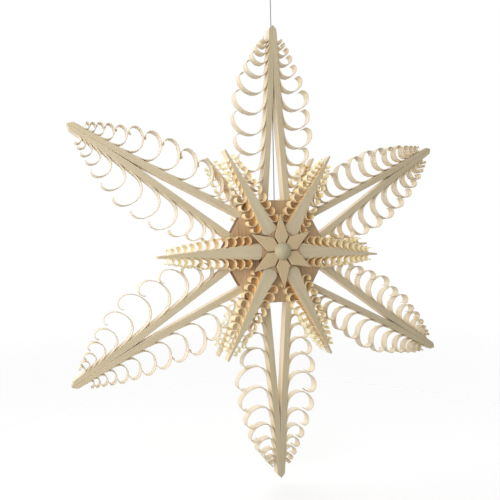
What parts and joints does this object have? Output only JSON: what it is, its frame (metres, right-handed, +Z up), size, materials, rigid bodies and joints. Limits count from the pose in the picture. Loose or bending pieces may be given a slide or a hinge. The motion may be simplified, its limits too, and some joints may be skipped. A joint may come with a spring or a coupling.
{
  "type": "wood shaving star ornament",
  "caption": "Hanging star of split wood spars with curled shavings along their edges, on a hexagonal hub with a smaller shaved star, petals and a turned button on each face.",
  "frame": {"origin": "inside top of the thread loop, where a hook or nail carries the star", "axes": "+Z up along the thread, -Y out of the front face of the star, +X to the right seen from the front"},
  "size_m": [0.3464, 0.0407, 0.4646],
  "materials": {
    "shaved_limewood": "planed, raw",
    "hub_wood": "sawn and sanded, raw",
    "petal_wood": "planed, raw, ringed grain",
    "turned_wood": "turned, raw",
    "dowel_wood": "rolled dowel, raw",
    "thread": "twisted grey thread"
  },
  "bodies": {
    "hanger": {"loop_knot": "thread", "thread_loop": "thread"},
    "star": {"hub": "hub_wood", "centre_dowel": "dowel_wood", "spar_12_left": "shaved_limewood", "spar_12_right": "shaved_limewood", "spar_2_left": "shaved_limewood", "spar_2_right": "shaved_limewood", "spar_4_left": "shaved_limewood", "spar_4_right": "shaved_limewood", "spar_6_left": "shaved_limewood", "spar_6_right": "shaved_limewood", "spar_8_left": "shaved_limewood", "spar_8_right": "shaved_limewood", "spar_10_left": "shaved_limewood", "spar_10_right": "shaved_limewood", "front_core": "hub_wood", "front_ray_1": "shaved_limewood", "front_ray_3": "shaved_limewood", "front_ray_5": "shaved_limewood", "front_ray_7": "shaved_limewood", "front_ray_9": "shaved_limewood", "front_ray_11": "shaved_limewood", "front_petal_12": "petal_wood", "front_petal_2": "petal_wood", "front_petal_4": "petal_wood", "front_petal_6": "petal_wood", "front_petal_8": "petal_wood", "front_petal_10": "petal_wood", "front_button": "turned_wood", "back_core": "hub_wood", "back_ray_1": "shaved_limewood", "back_ray_3": "shaved_limewood", "back_ray_5": "shaved_limewood", "back_ray_7": "shaved_limewood", "back_ray_9": "shaved_limewood", "back_ray_11": "shaved_limewood", "back_petal_12": "petal_wood", "back_petal_2": "petal_wood", "back_petal_4": "petal_wood", "back_petal_6": "petal_wood", "back_petal_8": "petal_wood", "back_petal_10": "petal_wood", "back_button": "turned_wood", "hanging_thread": "thread"}
  },
  "joints": [
    {"name": "thread_twist", "type": "hinge", "parent": "hanger", "child": "star", "pos_m": [0, 0, -0.02805], "axis": [0, 0, 1], "continuous": true}
  ]
}
